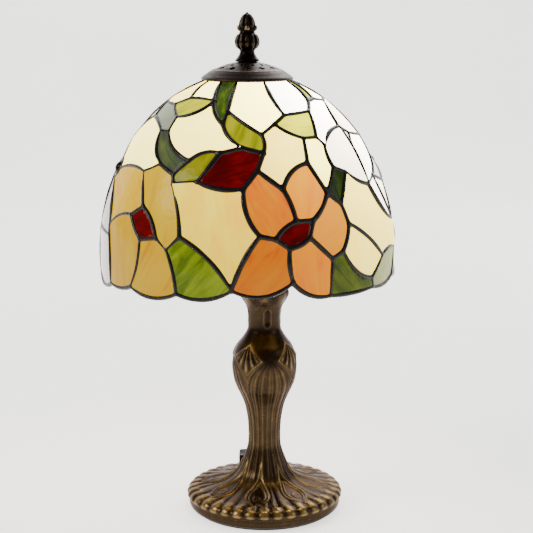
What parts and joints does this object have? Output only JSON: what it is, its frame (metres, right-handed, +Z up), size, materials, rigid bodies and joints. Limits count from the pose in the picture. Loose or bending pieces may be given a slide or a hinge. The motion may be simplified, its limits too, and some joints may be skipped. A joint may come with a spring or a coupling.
{
  "type": "table lamp",
  "caption": "Leaded glass table lamp with a domed floral shade, pierced cap, cast bronze stem and foot, and a switch at the back of the foot.",
  "frame": {"origin": "centre of the foot's underside, in its plane", "axes": "+Z up along the stem; -Y is the front, where the flower is seen; +Y is the side with the switch"},
  "size_m": [0.2026, 0.203, 0.3475],
  "materials": {
    "antique_bronze": "satin",
    "dark_felt": "matte",
    "zinc_steel": "satin",
    "plain_brass": "satin",
    "aged_brass": "satin",
    "liner_card": "matte",
    "black_plastic": "satin",
    "rocker_plastic": "gloss",
    "black_rubber": "matte",
    "brown_sleeve": "satin",
    "blue_sleeve": "satin",
    "bulb_glass": "frosted",
    "bulb_metal": "satin",
    "filament": "satin",
    "dark_solder": "satin",
    "cream_glass": "gloss",
    "white_glass": "gloss",
    "grey_glass": "gloss",
    "orange_glass": "gloss",
    "yellow_glass": "gloss",
    "heart_glass": "gloss",
    "bud_glass": "gloss",
    "lime_glass": "gloss",
    "green_glass": "gloss",
    "dark_glass": "gloss",
    "jewel_glass": "gloss"
  },
  "bodies": {
    "base": {"foot_casting": "antique_bronze", "felt_pad": "dark_felt", "bottom_plate": "zinc_steel", "stem_pipe": "zinc_steel", "pipe_nuts": "plain_brass", "pipe_washers": "zinc_steel", "neck_spacer": "aged_brass", "strap_bracket": "aged_brass", "riser_rod": "aged_brass", "riser_nut": "plain_brass", "seat_nut": "plain_brass", "socket_nipple": "zinc_steel", "socket_cap": "plain_brass", "socket_shell": "plain_brass", "socket_liner": "liner_card", "socket_body": "black_plastic", "screw_shell": "plain_brass", "centre_contact": "plain_brass", "terminal_screws": "plain_brass", "live_wire": "brown_sleeve", "neutral_wire": "blue_sleeve", "switch_housing": "black_plastic", "rocker_pin": "zinc_steel", "switch_contacts": "plain_brass", "housing_screws": "zinc_steel", "cord_bushing": "black_rubber"},
    "seat_washer": {"seat_washer": "zinc_steel"},
    "bulb": {"bulb_glass": "bulb_glass", "bulb_base": "bulb_metal", "bulb_insulator": "black_plastic", "bulb_filament": "filament"},
    "rocker": {"switch_rocker": "rocker_plastic"},
    "shade": {"solder_lattice": "dark_solder", "rim_wire": "dark_solder", "crown_ring": "plain_brass", "shade_spider": "aged_brass", "cream_glass_front": "cream_glass", "cream_glass_back": "cream_glass", "white_glass_front": "white_glass", "white_glass_back": "white_glass", "grey_glass": "grey_glass", "orange_petals_front": "orange_glass", "orange_petals_back": "orange_glass", "yellow_petals_front": "yellow_glass", "yellow_petals_back": "yellow_glass", "flower_hearts": "heart_glass", "red_buds": "bud_glass", "lime_leaves_front": "lime_glass", "lime_leaves_back": "lime_glass", "green_leaves_front": "green_glass", "green_leaves_back": "green_glass", "dark_leaves_front": "dark_glass", "dark_leaves_back": "dark_glass", "glass_jewels": "jewel_glass"},
    "cap": {"pierced_cap": "antique_bronze"},
    "finial": {"finial": "antique_bronze", "finial_bush": "plain_brass"}
  },
  "joints": [
    {"name": "shade_turn", "type": "hinge", "parent": "base", "child": "seat_washer", "pos_m": [-0.0115, 0, 0.298], "axis": [0, 0, 1], "continuous": true},
    {"name": "shade_lift", "type": "slide", "parent": "seat_washer", "child": "shade", "axis": [0, 0, 1], "range_m": [0, 0.17]},
    {"name": "cap_lift", "type": "slide", "parent": "shade", "child": "cap", "axis": [0, 0, 1], "range_m": [0, 0.04]},
    {"name": "finial_turn", "type": "hinge", "parent": "cap", "child": "finial", "pos_m": [-0.0115, 0, 0.32], "axis": [0, 0, 1], "continuous": true},
    {"name": "bulb_turn", "type": "hinge", "parent": "base", "child": "bulb", "pos_m": [0.0135, 0, 0.207], "axis": [0, 0, 1], "continuous": true},
    {"name": "switch_rock", "type": "hinge", "parent": "base", "child": "rocker", "pos_m": [-0.004, 0.052, 0.0175], "axis": [1, 0, 0], "range_deg": [0, 13]}
  ]
}
